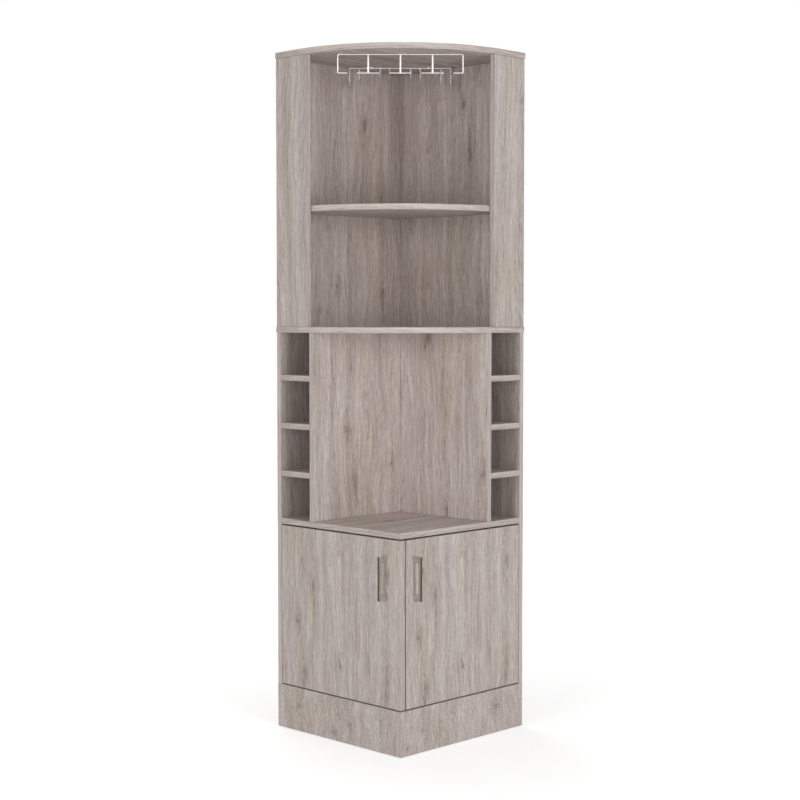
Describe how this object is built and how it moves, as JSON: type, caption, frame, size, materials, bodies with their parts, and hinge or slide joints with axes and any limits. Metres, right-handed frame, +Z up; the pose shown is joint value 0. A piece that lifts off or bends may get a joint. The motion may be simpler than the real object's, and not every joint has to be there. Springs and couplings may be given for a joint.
{
  "type": "bar cabinet",
  "caption": "Tall corner bar cabinet in grey oak laminate, with cupboard doors, an open counter niche, bottle bays, a rounded shelf and a wire rack for stemmed glasses.",
  "frame": {"origin": "on the floor, under the middle of the bounding box, handles included", "axes": "+Z up; +X and +Y point at the two walls of the room corner, so the front corner with the two doors points along -X -Y"},
  "size_m": [0.495, 0.495, 1.8],
  "materials": {
    "oak_laminate": "matt grey-taupe oak laminate with a fine vertical grain",
    "satin_nickel": "satin nickel plate",
    "hinge_plating": "nickel-plated pressed steel",
    "zinc_steel": "zinc-plated steel",
    "rack_chrome": "bright chrome wire"
  },
  "bodies": {
    "cabinet": {"plinth_board_left": "oak_laminate", "plinth_board_right": "oak_laminate", "base_panel": "oak_laminate", "side_panel_lower_left": "oak_laminate", "side_panel_lower_right": "oak_laminate", "counter_panel": "oak_laminate", "partition_left": "oak_laminate", "partition_right": "oak_laminate", "bottle_shelf_left_1": "oak_laminate", "bottle_shelf_left_2": "oak_laminate", "bottle_shelf_left_3": "oak_laminate", "bottle_shelf_right_1": "oak_laminate", "bottle_shelf_right_2": "oak_laminate", "bottle_shelf_right_3": "oak_laminate", "middle_panel": "oak_laminate", "side_panel_upper_left": "oak_laminate", "side_panel_upper_right": "oak_laminate", "stile_left": "oak_laminate", "stile_right": "oak_laminate", "upper_shelf": "oak_laminate", "top_panel": "oak_laminate", "hinge_arm_left_lower": "hinge_plating", "hinge_arm_left_upper": "hinge_plating", "hinge_arm_right_lower": "hinge_plating", "hinge_arm_right_upper": "hinge_plating", "hinge_plate_left_lower": "hinge_plating", "hinge_plate_left_upper": "hinge_plating", "hinge_plate_right_lower": "hinge_plating", "hinge_plate_right_upper": "hinge_plating", "hinge_arm_screw_left_lower": "zinc_steel", "hinge_arm_screw_left_upper": "zinc_steel", "hinge_arm_screw_right_lower": "zinc_steel", "hinge_arm_screw_right_upper": "zinc_steel", "glass_rack_frame_wire": "rack_chrome", "glass_rack_rear_wire": "rack_chrome", "glass_rack_loop_1": "rack_chrome", "glass_rack_loop_2": "rack_chrome", "glass_rack_loop_3": "rack_chrome", "glass_rack_screw_front_left": "zinc_steel", "glass_rack_screw_front_right": "zinc_steel", "glass_rack_screw_rear_left": "zinc_steel", "glass_rack_screw_rear_right": "zinc_steel"},
    "left_door": {"door_left": "oak_laminate", "handle_left": "satin_nickel", "handle_screw_left_lower": "zinc_steel", "handle_screw_left_upper": "zinc_steel", "hinge_cup_left_lower": "hinge_plating", "hinge_cup_left_upper": "hinge_plating", "hinge_pin_left_lower": "zinc_steel", "hinge_pin_left_upper": "zinc_steel"},
    "right_door": {"door_right": "oak_laminate", "handle_right": "satin_nickel", "handle_screw_right_lower": "zinc_steel", "handle_screw_right_upper": "zinc_steel", "hinge_cup_right_lower": "hinge_plating", "hinge_cup_right_upper": "hinge_plating", "hinge_pin_right_lower": "zinc_steel", "hinge_pin_right_upper": "zinc_steel"}
  },
  "joints": [
    {"name": "left_door_hinge", "type": "hinge", "parent": "cabinet", "child": "left_door", "pos_m": [-0.2148, 0.218, 0.3325], "axis": [0, 0, -1], "range_deg": [0, 95]},
    {"name": "right_door_hinge", "type": "hinge", "parent": "cabinet", "child": "right_door", "pos_m": [0.218, -0.2148, 0.3325], "axis": [0, 0, 1], "range_deg": [0, 95]}
  ]
}
